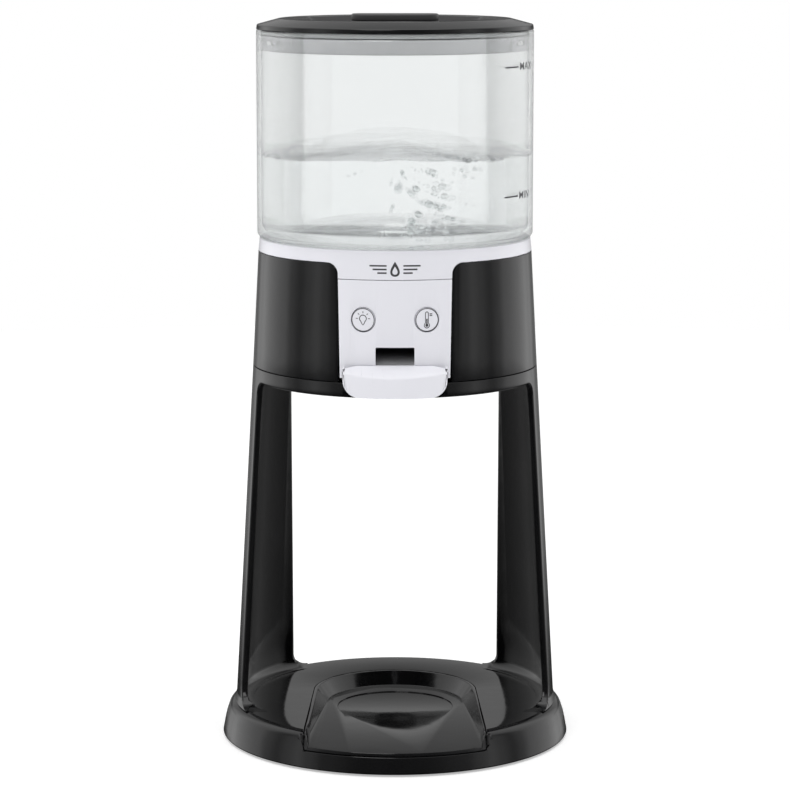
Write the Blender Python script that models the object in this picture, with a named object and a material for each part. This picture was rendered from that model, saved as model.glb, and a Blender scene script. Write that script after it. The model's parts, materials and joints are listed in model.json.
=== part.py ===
"""Warm-water dispenser for baby bottles: a lift-off tank on a heater body, carried by two legs."""
import math

import bmesh
import bpy
from mathutils import Matrix, Vector

# Every size below is in millimetres. The vertical centre line is x = y = 0, the table is z = 0
# and the front of the object faces -Y.
MM = 0.001
GAP = 0.3
SIDES = 40

# Driving dimensions
BASE_RADIUS = 91.5
DECK_TOP = 18.8
DECK_RADIUS = 84.4
PAN_TOP = 9.6
TRAY_FLOOR = 11.7
WELL_RADIUS = 43.5
WELL_Y = 12.0
CHANNEL_HALF_WIDTH = 46.5
CONE_RADIUS_LOW = 82.5
CONE_HEIGHT_LOW = 43.0
CONE_RADIUS_HIGH = 71.0
CONE_HEIGHT_HIGH = 257.5
LEG_THICKNESS = 2.9
LEG_FRONT_Y = -22.5
LEG_REAR_X = 56.0
RING_BOTTOM = 191.0
RING_TOP = 197.8
FLOOR_LOW = 193.5
FLOOR_HIGH = 195.3
SHELL_LOW = 198.1
SHELL_HIGH = 257.5
COLLAR_TOP = 264.5
PANEL_LOW = 203.6
PANEL_HIGH = 249.6
PANEL_HALF_WIDTH = 28.5
PANEL_THICKNESS = 2.5
CORNER_RADIUS = 5.2
WINDOW_HALF_WIDTH = 9.7
WINDOW_LOW = 207.1
WINDOW_HIGH = 216.1
TANK_RADIUS = 71.5
TANK_INNER = 69.2
TANK_LOW = 264.8
TANK_HIGH = 371.3
TANK_FLOOR_TOP = 260.3
HOT_PLATE_TOP = 258.8
LID_EDGE_LOW = 371.6
LID_EDGE_HIGH = 374.0
LID_TOP = 377.0
GRIP_TOP = 379.4
BUTTON_X = 15.95
BUTTON_Z = 229.9
BUTTON_RADIUS = 6.0
LEVER_HALF_WIDTH = 26.2
LEVER_TIP_Y = -82.0
LEVER_TOP = 207.3
LEVER_BOTTOM = 191.5
PIVOT_Y = -45.0
PIVOT_Z = 203.0
OUTLET_Y = 5.0
PINCH_Z = 218.0

# Colour, roughness and metallic value of each kind of material
BLACK = ((0.012, 0.012, 0.013), 0.16, 0.0)
WHITE = ((0.82, 0.82, 0.87), 0.30, 0.0)
CLEAR = ((0.86, 0.89, 0.90), 0.05, 0.0)
SILVER = ((0.55, 0.56, 0.57), 0.28, 0.9)
STEEL = ((0.48, 0.49, 0.50), 0.35, 1.0)
ALUMINIUM = ((0.62, 0.63, 0.65), 0.40, 1.0)
SILICONE = ((0.70, 0.72, 0.73), 0.55, 0.0)
RUBBER = ((0.03, 0.03, 0.03), 0.80, 0.0)
BOARD = ((0.02, 0.16, 0.07), 0.50, 0.0)
BRASS = ((0.72, 0.55, 0.24), 0.30, 1.0)
DARK = ((0.06, 0.06, 0.07), 0.45, 0.0)
WIRE_BROWN = ((0.16, 0.07, 0.03), 0.50, 0.0)
WIRE_BLUE = ((0.03, 0.09, 0.35), 0.50, 0.0)


def cone_radius(z):
    """Radius of the outer cone that the legs, the black shell and the panel all lie on."""
    slope = (CONE_RADIUS_LOW - CONE_RADIUS_HIGH) / (CONE_HEIGHT_HIGH - CONE_HEIGHT_LOW)
    return CONE_RADIUS_LOW - slope * (z - CONE_HEIGHT_LOW)


def arc(centre_u, centre_v, radius, start, end, steps):
    """Points on a circle from the start angle to the end angle, in degrees."""
    points = []
    for step in range(steps + 1):
        angle = math.radians(start + (end - start) * step / steps)
        points.append((centre_u + radius * math.cos(angle), centre_v + radius * math.sin(angle)))
    return points


def mirrored(points):
    """The same points with the first coordinate negated, in reverse order."""
    return [(-u, v) for u, v in reversed(points)]


def pill(half_length, radius, steps, centre_v=0.0):
    """A bar with round ends, centred on zero along its length."""
    right = arc(half_length, centre_v, radius, -90, 90, steps)
    return right + arc(-half_length, centre_v, radius, 90, 270, steps)


def box_outline(low_u, high_u, low_v, high_v):
    return [(low_u, low_v), (high_u, low_v), (high_u, high_v), (low_u, high_v)]


# Building bodies

def make_material(name, finish):
    colour, roughness, metallic = finish
    material = bpy.data.materials.new(name)
    material.use_nodes = True
    shader = material.node_tree.nodes["Principled BSDF"]
    shader.inputs["Base Color"].default_value = (*colour, 1.0)
    shader.inputs["Roughness"].default_value = roughness
    shader.inputs["Metallic"].default_value = metallic
    return material


def loft(name, rings, finish=None, closed=False):
    """A body through rings of points (mm), capped at both ends unless it closes on itself."""
    bm = bmesh.new()
    rows = [[bm.verts.new(Vector(point) * MM) for point in ring] for ring in rings]
    pairs = list(zip(rows, rows[1:]))
    if closed:
        pairs.append((rows[-1], rows[0]))
    else:
        bm.faces.new(rows[0])
        bm.faces.new(list(reversed(rows[-1])))
    count = len(rows[0])
    for row, following in pairs:
        for index in range(count):
            after = (index + 1) % count
            bm.faces.new((row[index], following[index], following[after], row[after]))
    bmesh.ops.remove_doubles(bm, verts=bm.verts, dist=0.000001)
    bmesh.ops.recalc_face_normals(bm, faces=bm.faces)
    mesh = bpy.data.meshes.new(name)
    bm.to_mesh(mesh)
    bm.free()
    mesh.shade_smooth()
    mesh.set_sharp_from_angle(angle=math.radians(30))
    body = bpy.data.objects.new(name, mesh)
    bpy.context.collection.objects.link(body)
    if finish is None:
        body.hide_render = True
        body.display_type = 'WIRE'
    else:
        mesh.materials.append(make_material(name, finish))
    return body


def turned(name, profile, finish=None, sides=SIDES, y=0.0):
    """A body of revolution about a vertical line; the profile is a closed list of (radius, z)."""
    rings = []
    for side in range(sides):
        angle = 2 * math.pi * side / sides
        rings.append([(r * math.cos(angle), y + r * math.sin(angle), z) for r, z in profile])
    return loft(name, rings, finish, closed=True)


def front_sector(name, profile, finish=None):
    """The front part of a body of revolution, as wide as four of its facets on each side."""
    rings = []
    for step in range(-4, 5):
        angle = math.radians(-90 + 360 / SIDES * step)
        rings.append([(r * math.cos(angle), r * math.sin(angle), z) for r, z in profile])
    return loft(name, rings, finish)


def upright(name, outline, low, high, finish=None):
    """An outline in x and y, extruded from z = low to z = high."""
    return loft(name, [[(x, y, z) for x, y in outline] for z in (low, high)], finish)


def frontal(name, outline, near, far, finish=None):
    """An outline in x and z, extruded from y = near to y = far."""
    return loft(name, [[(x, y, z) for x, z in outline] for y in (near, far)], finish)


def sideways(name, outline, left, right, finish=None):
    """An outline in y and z, extruded from x = left to x = right."""
    return loft(name, [[(x, y, z) for y, z in outline] for x in (left, right)], finish)


def block(name, x_range, y_range, z_range, finish=None):
    return upright(name, box_outline(*x_range, *y_range), *z_range, finish)


def rod(name, radius, start, end, finish=None, sides=16):
    """A round rod between two points."""
    return drum(name, [(radius, 0.0)], start, end, finish, sides)


def drum(name, steps, start, end, finish=None, sides=24):
    """A stepped round body along a line; each step is (radius, distance where it begins)."""
    begin = Vector(start)
    direction = Vector(end) - begin
    turn = direction.to_track_quat('Z', 'Y').to_matrix()
    ends = [distance for radius, distance in steps[1:]] + [direction.length]
    rings = []
    for (radius, near), far in zip(steps, ends):
        for along in (near, far):
            ring = []
            for side in range(sides):
                angle = 2 * math.pi * side / sides
                around = Vector((radius * math.cos(angle), radius * math.sin(angle), along))
                ring.append(begin + turn @ around)
            rings.append(ring)
    return loft(name, rings, finish)


def combine(body, tool, operation):
    """Add a Boolean modifier; the tool becomes a hidden helper."""
    modifier = body.modifiers.new(operation.lower(), 'BOOLEAN')
    modifier.operation = operation
    modifier.solver = 'EXACT'
    modifier.object = tool
    tool.hide_render = True
    tool.display_type = 'WIRE'


def cut(body, *tools):
    for tool in tools:
        combine(body, tool, 'DIFFERENCE')


def add(body, *tools):
    for tool in tools:
        combine(body, tool, 'UNION')


def keep(body, *tools):
    for tool in tools:
        combine(body, tool, 'INTERSECT')


def axis_empty(name, x, y, z, pieces):
    """An empty on a joint's axis that carries the pieces that move on it."""
    empty = bpy.data.objects.new(name, None)
    empty.location = Vector((x, y, z)) * MM
    empty.empty_display_size = 0.01
    bpy.context.collection.objects.link(empty)
    for piece in pieces:
        piece.parent = empty
        piece.matrix_parent_inverse = Matrix.Translation(-empty.location)
    return empty


# The round base

def channel_outline(inset, front):
    """Outline of the bottle well: a round back and straight sides that run out at the front."""
    radius = WELL_RADIUS - inset
    half = CHANNEL_HALF_WIDTH - inset
    back = arc(0, WELL_Y, radius, 0, 180, 16)
    return [(half, front), (half, -65.0)] + back + [(-half, -65.0), (-half, front)]


def build_base():
    screw_spots = [(66, -38), (-66, -38), (62, 42), (-62, 42)]
    foot_spots = [(46, -60), (-46, -60), (46, 60), (-46, 60)]
    plate_low = 1.4
    plate_high = 3.4

    band = [
        (DECK_RADIUS, DECK_TOP), (86.8, 17.6), (88.1, 15.6), (89.65, 10.6), (90.8, 5.0), (BASE_RADIUS, 0.9),
    ]
    inside = [(88.9, 0.9), (87.2, 10.0), (85.6, 14.6), (83.6, 16.3)]
    shell = turned("base_shell", [(0, DECK_TOP)] + band + inside + [(0, 16.3)], BLACK)
    tub = upright("tub_helper", channel_outline(-2.2, -100), 7.4, 17.0)
    keep(tub, turned("tub_trim", [(0, 30), (88.3, 30), (88.3, 0), (0, 0)]))
    add(shell, tub)
    cut(shell, upright("channel_cut", channel_outline(0, -100), PAN_TOP, 30))
    for index, (x, y) in enumerate(screw_spots, 1):
        add(shell, rod(f"boss_{index}", 4.2, (x, y, plate_high + GAP), (x, y, 17.0)))
        cut(shell, rod(f"boss_bore_{index}", 1.9, (x, y, 0), (x, y, 11.0)))

    plate = rod("base_plate", 86.5, (0, 0, plate_low), (0, 0, plate_high), BLACK, SIDES)
    for index, (x, y) in enumerate(foot_spots, 1):
        cut(plate, rod(f"foot_pocket_{index}", 7.4, (x, y, 0), (x, y, 2.3), sides=16))
        rod(f"foot_{index}", 6.8, (x, y, 0), (x, y, 2.0), RUBBER, sides=16)
    for index, (x, y) in enumerate(screw_spots, 1):
        cut(plate, drum(f"plate_bore_{index}", [(3.6, 0), (1.9, 2.6)], (x, y, 0), (x, y, 8), sides=12))
        drum(f"base_screw_{index}", [(3.1, 0), (1.5, 0.9)], (x, y, 1.5), (x, y, 10.5), STEEL, sides=12)


def build_tray():
    """A shallow lift-out tray: the bottle's floor, with sloped sides and an open front."""
    top = 18.4
    inset = 0.4
    tray = upright("bottle_tray", channel_outline(inset, -100), PAN_TOP + GAP, top, BLACK)
    rim = [(0, 30), (84, 30), (88.1, 15.6), (89.5, TRAY_FLOOR), (89.8, PAN_TOP), (89.8, 0), (0, 0)]
    keep(tray, turned("tray_trim", rim))

    def hollow_outline(radius, waist, half):
        back = arc(0, WELL_Y, radius, 0, 180, 16)
        return [(half, -100), (half, -52), (waist, -6)] + back + [(-waist, -6), (-half, -52), (-half, -100)]

    low = [(x, y, TRAY_FLOOR) for x, y in hollow_outline(36.5, 40.0, 44.2)]
    high = [(x, y, top + 1.0) for x, y in hollow_outline(42.4, 43.2, 45.2)]
    cut(tray, loft("tray_hollow", [low, high]))
    rest = [(0, 20), (31, 20), (31, TRAY_FLOOR - 0.8), (0, TRAY_FLOOR - 0.8)]
    cut(tray, turned("bottle_rest", rest, y=OUTLET_Y))
    axis_empty("tray_slide_axis", 0, 0, TRAY_FLOOR, [tray])


# The legs and the ring that they carry

def leg_ring(side, z, outer, inner, front_y, rear_x):
    """One horizontal section of a leg: part of a round wall between a front and a rear cut."""
    points = []
    for radius, reverse in ((outer, False), (inner, True)):
        start = math.degrees(math.asin(front_y / radius))
        end = math.degrees(math.acos(rear_x / radius))
        stretch = arc(0, 0, radius, start, end, 8)
        points += reversed(stretch) if reverse else stretch
    return [(side * x, y, z) for x, y in points]


def build_stand():
    ring_profile = [
        (cone_radius(RING_TOP), RING_TOP), (74.3, 195.4), (73.1, 192.6), (70.8, RING_BOTTOM),
        (64.0, RING_BOTTOM), (64.0, 193.2), (71.5, 193.2), (71.5, RING_TOP),
    ]
    ring = turned("stand_ring", ring_profile, BLACK)
    cut(ring, block("ring_mouth", (-27.3, 27.3), (-90, -69.9), (180, 205)))
    for side, name in ((-1, "left_leg"), (1, "right_leg")):
        levels = [DECK_TOP + GAP + (RING_TOP - DECK_TOP - GAP) * step / 4 for step in range(5)]
        rings = []
        for z in levels:
            outer = cone_radius(z)
            rings.append(leg_ring(side, z, outer, outer - LEG_THICKNESS, LEG_FRONT_Y, LEG_REAR_X))
        loft(name, rings, BLACK)
        slot = [leg_ring(side, z, 80, 71.15, LEG_FRONT_Y - 0.4, LEG_REAR_X - 0.4) for z in (185, 205)]
        cut(ring, loft(f"{name}_slot", slot))
    return ring


# The heater body

def screw_places():
    return [(67.5 * math.cos(math.radians(a)), 67.5 * math.sin(math.radians(a))) for a in (94, 203, 337)]


def build_body(ring):
    floor = rod("body_floor", 71, (0, 0, FLOOR_LOW), (0, 0, FLOOR_HIGH), BLACK, SIDES)
    cut(floor, block("floor_mouth", (-27.3, 27.3), (-90, -57), (180, 205)))
    cut(floor, rod("nozzle_bore", 6.9, (0, OUTLET_Y, 180), (0, OUTLET_Y, 205), sides=24))
    cut(floor, rod("lens_bore", 4.9, (0, -36, 180), (0, -36, 205)))

    outline = [
        (cone_radius(SHELL_LOW), SHELL_LOW), (cone_radius(SHELL_HIGH), SHELL_HIGH), (68.4, SHELL_HIGH),
        (71.5, 200.1), (64.5, 200.1), (64.5, SHELL_LOW),
    ]
    shell = turned("body_shell", outline, BLACK)
    half = PANEL_HALF_WIDTH + 0.4
    corner = arc(half + CORNER_RADIUS, SHELL_HIGH - CORNER_RADIUS, CORNER_RADIUS, 180, 90, 5)
    side = [(half, 190)] + corner + [(half + CORNER_RADIUS, 270)]
    cut(shell, frontal("front_opening", side + mirrored(side), -90, -40))
    cut(shell, block("inlet_opening", (-12.8, 12.8), (60, 90), (204.6, 219.4)))

    for index, (x, y) in enumerate(screw_places(), 1):
        for body, tag in ((ring, "ring"), (floor, "floor"), (shell, "shell")):
            steps = [(3.2, 0), (1.8, 7.3)] if body is ring else [(1.8, 0)]
            cut(body, drum(f"{tag}_bore_{index}", steps, (x, y, 185), (x, y, 201), sides=12))
        drum(f"floor_screw_{index}", [(2.8, 0), (1.4, 0.8)], (x, y, 191.2), (x, y, 203), STEEL, sides=12)


def build_collar():
    """The white ring that the tank stands in, with the apron above the panel."""
    outline = [
        (70.3, COLLAR_TOP), (71.0, 257.8), (68.0, 257.8), (67.6, 252.0), (65.5, 252.0), (65.5, 254.8),
        (47.0, 254.8), (47.0, 257.0), (61.2, 257.0), (61.2, COLLAR_TOP),
    ]
    collar = turned("collar", outline, WHITE)
    low = PANEL_HIGH + GAP
    high = 258.2
    sector = [
        (cone_radius(low), low), (cone_radius(high), high), (cone_radius(high) - 3.3, high),
        (cone_radius(low) - 3.3, low),
    ]
    apron = front_sector("apron", sector)
    corner = arc(34.1, SHELL_HIGH - CORNER_RADIUS, CORNER_RADIUS + GAP, 180, 90, 5)
    side = [(PANEL_HALF_WIDTH + 0.1, 240)] + corner + [(34.1, 262)]
    keep(apron, frontal("apron_outline", side + mirrored(side), -90, -40))
    add(collar, apron)


def button_line(side):
    """Where a button's centre meets the panel, and the direction in which it is pressed."""
    radius = cone_radius(BUTTON_Z)
    surface = Vector((side * BUTTON_X, -math.sqrt(radius ** 2 - BUTTON_X ** 2), BUTTON_Z))
    inward = Vector((-surface.x, -surface.y, 0)).normalized()
    return surface, inward


def build_panel():
    low = PANEL_LOW
    high = PANEL_HIGH
    sector = [
        (cone_radius(low), low), (cone_radius(high), high), (cone_radius(high) - PANEL_THICKNESS, high),
        (cone_radius(low) - PANEL_THICKNESS, low),
    ]
    panel = front_sector("front_panel", sector, WHITE)
    half = PANEL_HALF_WIDTH
    keep(panel, block("panel_sides", (-half, half), (-90, -40), (190, 270)))
    window = (-WINDOW_HALF_WIDTH, WINDOW_HALF_WIDTH)
    cut(panel, block("window_cut", window, (-90, -60), (WINDOW_LOW, WINDOW_HIGH)))
    for side, name in ((-1, "light_button"), (1, "temperature_button")):
        surface, inward = button_line(side)
        cut(panel, rod(f"{name}_bore", 6.4, surface - 6 * inward, surface + 9 * inward, sides=24))
        start = surface - 0.4 * inward
        steps = [(BUTTON_RADIUS, 0), (7.4, 4.3), (2.0, 5.3)]
        button = drum(name, steps, start, start + 6.1 * inward, WHITE)
        axis_empty(f"{name}_axis", *surface, [button])
        switch_x = (side * 14.4 - 3, side * 14.4 + 3)
        block(name.replace("button", "switch"), switch_x, (-63.6, -60.4), (226.9, 232.9), DARK)
    block("control_board", (-24, 24), (-60.1, -58.5), (222, 243), BOARD)

    cup = block("window_cup", (-11.5, 11.5), (-69.2, -57), (205.7, 217.6), DARK)
    cut(cup, block("cup_hollow", (-9.9, 9.9), (-75, -58.6), (207.0, 216.2)))


# What heats the water and lets it out

def build_heater():
    plate = [(50, HOT_PLATE_TOP), (50, 257.3), (12, 257.3), (12, HOT_PLATE_TOP)]
    turned("hot_plate", plate, ALUMINIUM)
    turned("heating_ring", arc(36, 253.8, 3.2, 0, 300, 5), STEEL)
    rod("thermostat", 7.0, (-22, 0, 250.5), (-22, 0, 257.0), DARK)
    rod("thermal_fuse", 2.0, (22, -7, 254.9), (22, 7, 254.9), BRASS, sides=12)
    rod("temperature_sensor", 2.4, (0, -22, 249.0), (0, -22, 257.0), BRASS, sides=12)


def build_outlet():
    cup_outline = [(11.3, 257.6), (11.3, 248), (0, 248), (0, 249.6), (9.8, 249.6), (9.8, 257.6)]
    cup = turned("outlet_coupler", cup_outline, WHITE)
    add(cup, rod("coupler_pin", 2.0, (0, 0, 249), (0, 0, 258.4), sides=12))
    add(cup, rod("nipple", 2.9, (0, OUTLET_Y, 240), (0, OUTLET_Y, 248.6)))
    cut(cup, rod("nipple_bore", 1.8, (0, OUTLET_Y, 230), (0, OUTLET_Y, 255), sides=12))
    turned("coupler_seal", [(11.3, 258.6), (11.3, 257.9), (8.2, 257.9), (8.2, 258.6)], SILICONE, sides=32)

    housing = block("pinch_housing", (-10, 10), (-3, 18), (209, 227), WHITE)
    rings = []
    for z in (200, 235):
        ellipse = arc(0, 0, 1.0, 0, 345, 23)
        rings.append([(6.6 * x, OUTLET_Y + 5.1 * y, z) for x, y in ellipse])
    cut(housing, loft("tube_bore", rings))
    add(housing, block("anvil", (-7.5, 7.5), (6.8, 11), (217.0, 219.0)))
    add(housing, block("housing_post", (-10, 10), (14.4, 18), (195.6, 212)))
    cut(housing, block("bar_slot", (-5.5, 5.5), (-8, 4.5), (216.5, 219.5)))

    # The soft tube: round, and flattened where the pinch bar holds it shut
    levels = [191.0, 212.0, 214.2, PINCH_Z - 1.7, PINCH_Z + 1.7, 221.8, 224.0, 246.5]
    flatness = [0.0, 0.0, 0.5, 1.0, 1.0, 0.5, 0.0, 0.0]

    def tube_ring(z, flat, width, squeezed_width, squeezed_depth):
        across = width + (squeezed_width - width) * flat
        deep = width + (squeezed_depth - width) * flat
        return [(across * u, OUTLET_Y + deep * v, z) for u, v in arc(0, 0, 1.0, 0, 337.5, 15)]

    outside = [tube_ring(z, flat, 4.4, 5.6, 1.5) for z, flat in zip(levels, flatness)]
    inside = [tube_ring(z, flat, 3.3, 4.5, 0.35) for z, flat in zip(levels, flatness)]
    loft("pinch_tube", outside + inside[::-1], SILICONE, closed=True)

    spout = [
        (6.4, 197.2), (6.4, 184.5), (5.6, 183.0), (3.2, 183.0), (3.2, 190.4), (4.9, 190.4), (4.9, 197.2),
    ]
    nozzle = turned("nozzle", spout, WHITE, sides=24, y=OUTLET_Y)
    flange = [(9.0, 197.2), (9.0, 195.6), (5.6, 195.6), (5.6, 197.2)]
    add(nozzle, turned("nozzle_flange", flange, sides=24, y=OUTLET_Y))


# The lever at the front

def build_lever():
    half = LEVER_HALF_WIDTH
    corner = arc(half - 8, LEVER_BOTTOM + 8, 8, 0, -90, 6)
    side = [(half, 212)] + corner
    lever = frontal("lever", side + mirrored(side), -90, -71.9, WHITE)
    bow = arc(0, LEVER_TIP_Y + 52.5, 52.5, -120, -60, 12)
    keep(lever, upright("lever_plan", bow + [(half + 5, -60), (-half - 5, -60)], 180, 215))
    slope = [(-90, 180), (-60, 180), (-60, LEVER_TOP + 0.5), (-74.0, LEVER_TOP), (-77, 204.6), (-90, 202.4)]
    keep(lever, sideways("lever_slope", slope, -40, 40))
    cut(lever, turned("lever_back", [(0, 215), (74.3, 215), (74.3, 203.2), (0, 203.2)], sides=96))
    add(lever, block("lever_arm", (-14, 14), (-73, PIVOT_Y), (199.3, 202.6)))
    barrel = rod("lever_barrel", 4.0, (-19.8, PIVOT_Y, PIVOT_Z), (19.8, PIVOT_Y, PIVOT_Z))
    add(lever, barrel)
    add(lever, block("rear_arm", (-16, 16), (PIVOT_Y, -33), (200.2, 203.4)))
    add(lever, block("crank", (-3.6, 3.6), (-47, -43), (203, 219.4)))
    cut(lever, rod("lever_bore", 2.2, (-30, PIVOT_Y, PIVOT_Z), (30, PIVOT_Y, PIVOT_Z)))
    axis_empty("lever_axis", 0, PIVOT_Y, PIVOT_Z, [lever])
    rod("lever_pin", 1.8, (-24.5, PIVOT_Y, PIVOT_Z), (24.5, PIVOT_Y, PIVOT_Z), STEEL)

    side = [(23, 195.6), (23, 216.2)]
    inner = [(20.4, 195.6), (20.4, 214.2)]
    outline = side + mirrored(side) + [(-x, z) for x, z in inner] + inner[::-1]
    bracket = frontal("lever_bracket", outline, -50, -31, WHITE)
    cut(bracket, block("crank_notch", (-7, 7), (-60, -41.6), (210, 220)))
    cut(bracket, rod("bracket_bore", 2.1, (-30, PIVOT_Y, PIVOT_Z), (30, PIVOT_Y, PIVOT_Z)))

    # A coil of four turns between the rear arm and the top of the bracket
    turns = 4
    steps = turns * 10
    low = 203.4 + GAP + 0.6
    high = 214.2 - GAP - 0.6
    coil = []
    for step in range(steps + 1):
        angle = 2 * math.pi * turns * step / steps
        out = Vector((math.cos(angle), math.sin(angle), 0))
        centre = Vector((10, -36.4, low + (high - low) * step / steps)) + 3 * out
        ring = [centre + 0.45 * (u * out + v * Vector((0, 0, 1))) for u, v in arc(0, 0, 1, 0, 288, 4)]
        coil.append(ring)
    loft("lever_spring", coil, STEEL)

    bar = block("pinch_bar", (-5, 5), (-50, 3.2), (PINCH_Z - 1.1, PINCH_Z + 1.1), DARK)
    cut(bar, block("crank_window", (-4.1, 4.1), (-47.7, -42.3), (210, 225)))
    axis_empty("pinch_bar_axis", 0, 3.2, PINCH_Z, [bar])


# The electrical parts

def build_electrics():
    rod("night_light_lens", 4.5, (0, -36, 193.2), (0, -36, 195.2), CLEAR)
    block("power_board", (-26, 26), (24, 50), (198.6, 200.2), BOARD)
    block("relay", (-19, -7), (32, 40), (200.5, 209.5), DARK)
    inlet = block("power_inlet", (-12.4, 12.4), (57, 72.0), (205.0, 219.0), DARK)
    half = 4.3
    cut(inlet, frontal("inlet_socket", pill(half, 4.2, 6, centre_v=212), 61, 80))
    for index, x in enumerate((-half, half), 1):
        cut(inlet, rod(f"inlet_bore_{index}", 1.6, (x, 50, 212), (x, 65, 212), sides=12))
        rod(f"inlet_pin_{index}", 1.2, (x, 54, 212), (x, 69, 212), BRASS, sides=12)
    for index, (x, finish) in enumerate(((-half, WIRE_BROWN), (half, WIRE_BLUE)), 1):
        wire = bpy.data.curves.new(f"mains_wire_{index}", 'CURVE')
        wire.dimensions = '3D'
        wire.bevel_depth = 1.0 * MM
        wire.bevel_resolution = 2
        wire.use_fill_caps = True
        spline = wire.splines.new('POLY')
        bend = arc(53.6 - 6.5, 212 - 6.5, 6.5, 90, 180, 6)
        route = [(53.6, 212)] + bend + [(40.6, 200.6)]
        spline.points.add(len(route) - 1)
        for point, (y, z) in zip(spline.points, route):
            point.co = (x * MM, y * MM, z * MM, 1.0)
        wire.materials.append(make_material(f"mains_wire_{index}", finish))
        bpy.context.collection.objects.link(bpy.data.objects.new(f"mains_wire_{index}", wire))


# The lift-off tank, its valve and its lid

def build_tank():
    outline = [
        (TANK_RADIUS, TANK_HIGH), (TANK_RADIUS, 266.6), (70.3, TANK_LOW), (60.6, TANK_LOW), (60.2, 259.3),
        (55.2, 259.3), (55.2, 261.3), (60.0, 263.0), (66.4, 267.0), (TANK_INNER, 270.2),
        (TANK_INNER, TANK_HIGH),
    ]
    wall = turned("tank_wall", outline, CLEAR)
    floor = [(52, TANK_FLOOR_TOP), (52, 259.1), (7.8, 259.1), (7.8, TANK_FLOOR_TOP)]
    disc = turned("tank_floor", floor, STEEL)
    seal = turned("tank_floor_seal", [(54.8, 260.9), (54.8, 259.3), (52.4, 259.3), (52.4, 260.9)], SILICONE)
    bush = turned("valve_bush", [(7.3, 261.0), (7.3, 258.95), (3.7, 258.95), (3.7, 261.0)], WHITE, sides=24)
    stem = [(0, 267.8), (7.0, 267.8), (7.0, 264.5), (3.2, 264.5), (3.2, 258.75), (0, 258.75)]
    valve = turned("valve_stem", stem, CLEAR, sides=24)
    washer_outline = [(6.2, 264.2), (6.2, 263.7), (3.6, 263.7), (3.6, 264.2)]
    washer = turned("valve_washer", washer_outline, SILICONE, sides=24)

    cover_outline = [
        (0, LID_TOP), (60, LID_TOP), (TANK_RADIUS, LID_EDGE_HIGH), (TANK_RADIUS, LID_EDGE_LOW),
        (65.4, LID_EDGE_LOW), (65.4, 372.8), (54.5, 373.6), (51.0, 368.2), (0, 368.2),
    ]
    cover = turned("lid_cover", cover_outline, BLACK)

    def dish_outline(half_x, half_y, chamfer):
        corners = [(half_x, half_y - chamfer), (half_x - chamfer, half_y)]
        upper = corners + mirrored(corners)
        return upper + [(-x, -y) for x, y in upper]

    high = [(x, y, LID_TOP + 1) for x, y in dish_outline(47, 46, 24)]
    low = [(x, y, 370.6) for x, y in dish_outline(34, 29, 14)]
    cut(cover, loft("lid_dish", [low, high]))
    grip = upright("lid_grip", pill(16.5, 6.0, 8), 375.6, GRIP_TOP, BLACK)
    add(grip, upright("grip_neck", pill(13, 3.2, 5), 370.9, 376.0))
    skirt_outline = [
        (68.3, 361), (68.3, 368.6), (65.1, 368.6), (65.1, 372.4), (63.3, 372.4), (63.3, 367), (66.6, 367),
        (66.6, 361),
    ]
    skirt = turned("lid_skirt", skirt_outline, SILVER)
    # a snap tab on each side, between two slits, with a slot near each slit
    for side in (-1, 1):
        slit_x = sorted((side * 50, side * 75))
        slot_x = sorted((side * 59.4, side * 64.1))
        for end in (-1, 1):
            slit_y = sorted((end * 36.6, end * 38.4))
            slot_y = sorted((end * 24.0, end * 34.0))
            cut(skirt, block("tab_slit", slit_x, slit_y, (355, 366.2)))
            cut(skirt, block("tab_slot", slot_x, slot_y, (364.2, 366.2)))
    lid_seal = turned("lid_seal", [(68.8, 371.2), (68.8, 369.0), (65.5, 369.0), (65.5, 371.2)], SILICONE)

    axis_empty("tank_lift_axis", 0, 0, TANK_LOW, [wall, disc, seal, bush])
    axis_empty("valve_axis", 0, 0, 264.5, [valve, washer])
    axis_empty("lid_lift_axis", 0, 0, LID_EDGE_LOW, [cover, grip, skirt, lid_seal])


for leftover in list(bpy.data.objects):
    bpy.data.objects.remove(leftover)

build_base()
build_tray()
stand_ring = build_stand()
build_body(stand_ring)
build_collar()
build_panel()
build_heater()
build_outlet()
build_lever()
build_electrics()
build_tank()
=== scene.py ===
import json
import math
import random

import bpy
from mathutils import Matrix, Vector


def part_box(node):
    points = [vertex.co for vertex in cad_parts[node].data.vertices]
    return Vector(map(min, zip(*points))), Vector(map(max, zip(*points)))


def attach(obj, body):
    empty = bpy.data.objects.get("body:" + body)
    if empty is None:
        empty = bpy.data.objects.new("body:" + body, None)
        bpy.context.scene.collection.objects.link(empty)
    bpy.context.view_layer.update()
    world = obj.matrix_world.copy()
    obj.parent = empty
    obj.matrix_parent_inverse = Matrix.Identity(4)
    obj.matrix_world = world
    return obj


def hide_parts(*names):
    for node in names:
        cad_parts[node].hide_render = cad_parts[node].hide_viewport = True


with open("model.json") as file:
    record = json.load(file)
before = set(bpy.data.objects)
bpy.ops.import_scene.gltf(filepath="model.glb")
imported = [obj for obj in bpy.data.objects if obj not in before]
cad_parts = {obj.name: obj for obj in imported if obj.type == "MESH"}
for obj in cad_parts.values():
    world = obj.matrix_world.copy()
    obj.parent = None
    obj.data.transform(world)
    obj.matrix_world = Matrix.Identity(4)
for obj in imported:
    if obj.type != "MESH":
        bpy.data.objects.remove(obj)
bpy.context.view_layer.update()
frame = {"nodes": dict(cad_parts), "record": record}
print("frame loaded")

mm = 0.001
fullTurn = 2 * math.pi


def lowEnd(node):  # lowest corner of a node, in millimetres
    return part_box(node)[0] / mm


def highEnd(node):
    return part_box(node)[1] / mm


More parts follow.
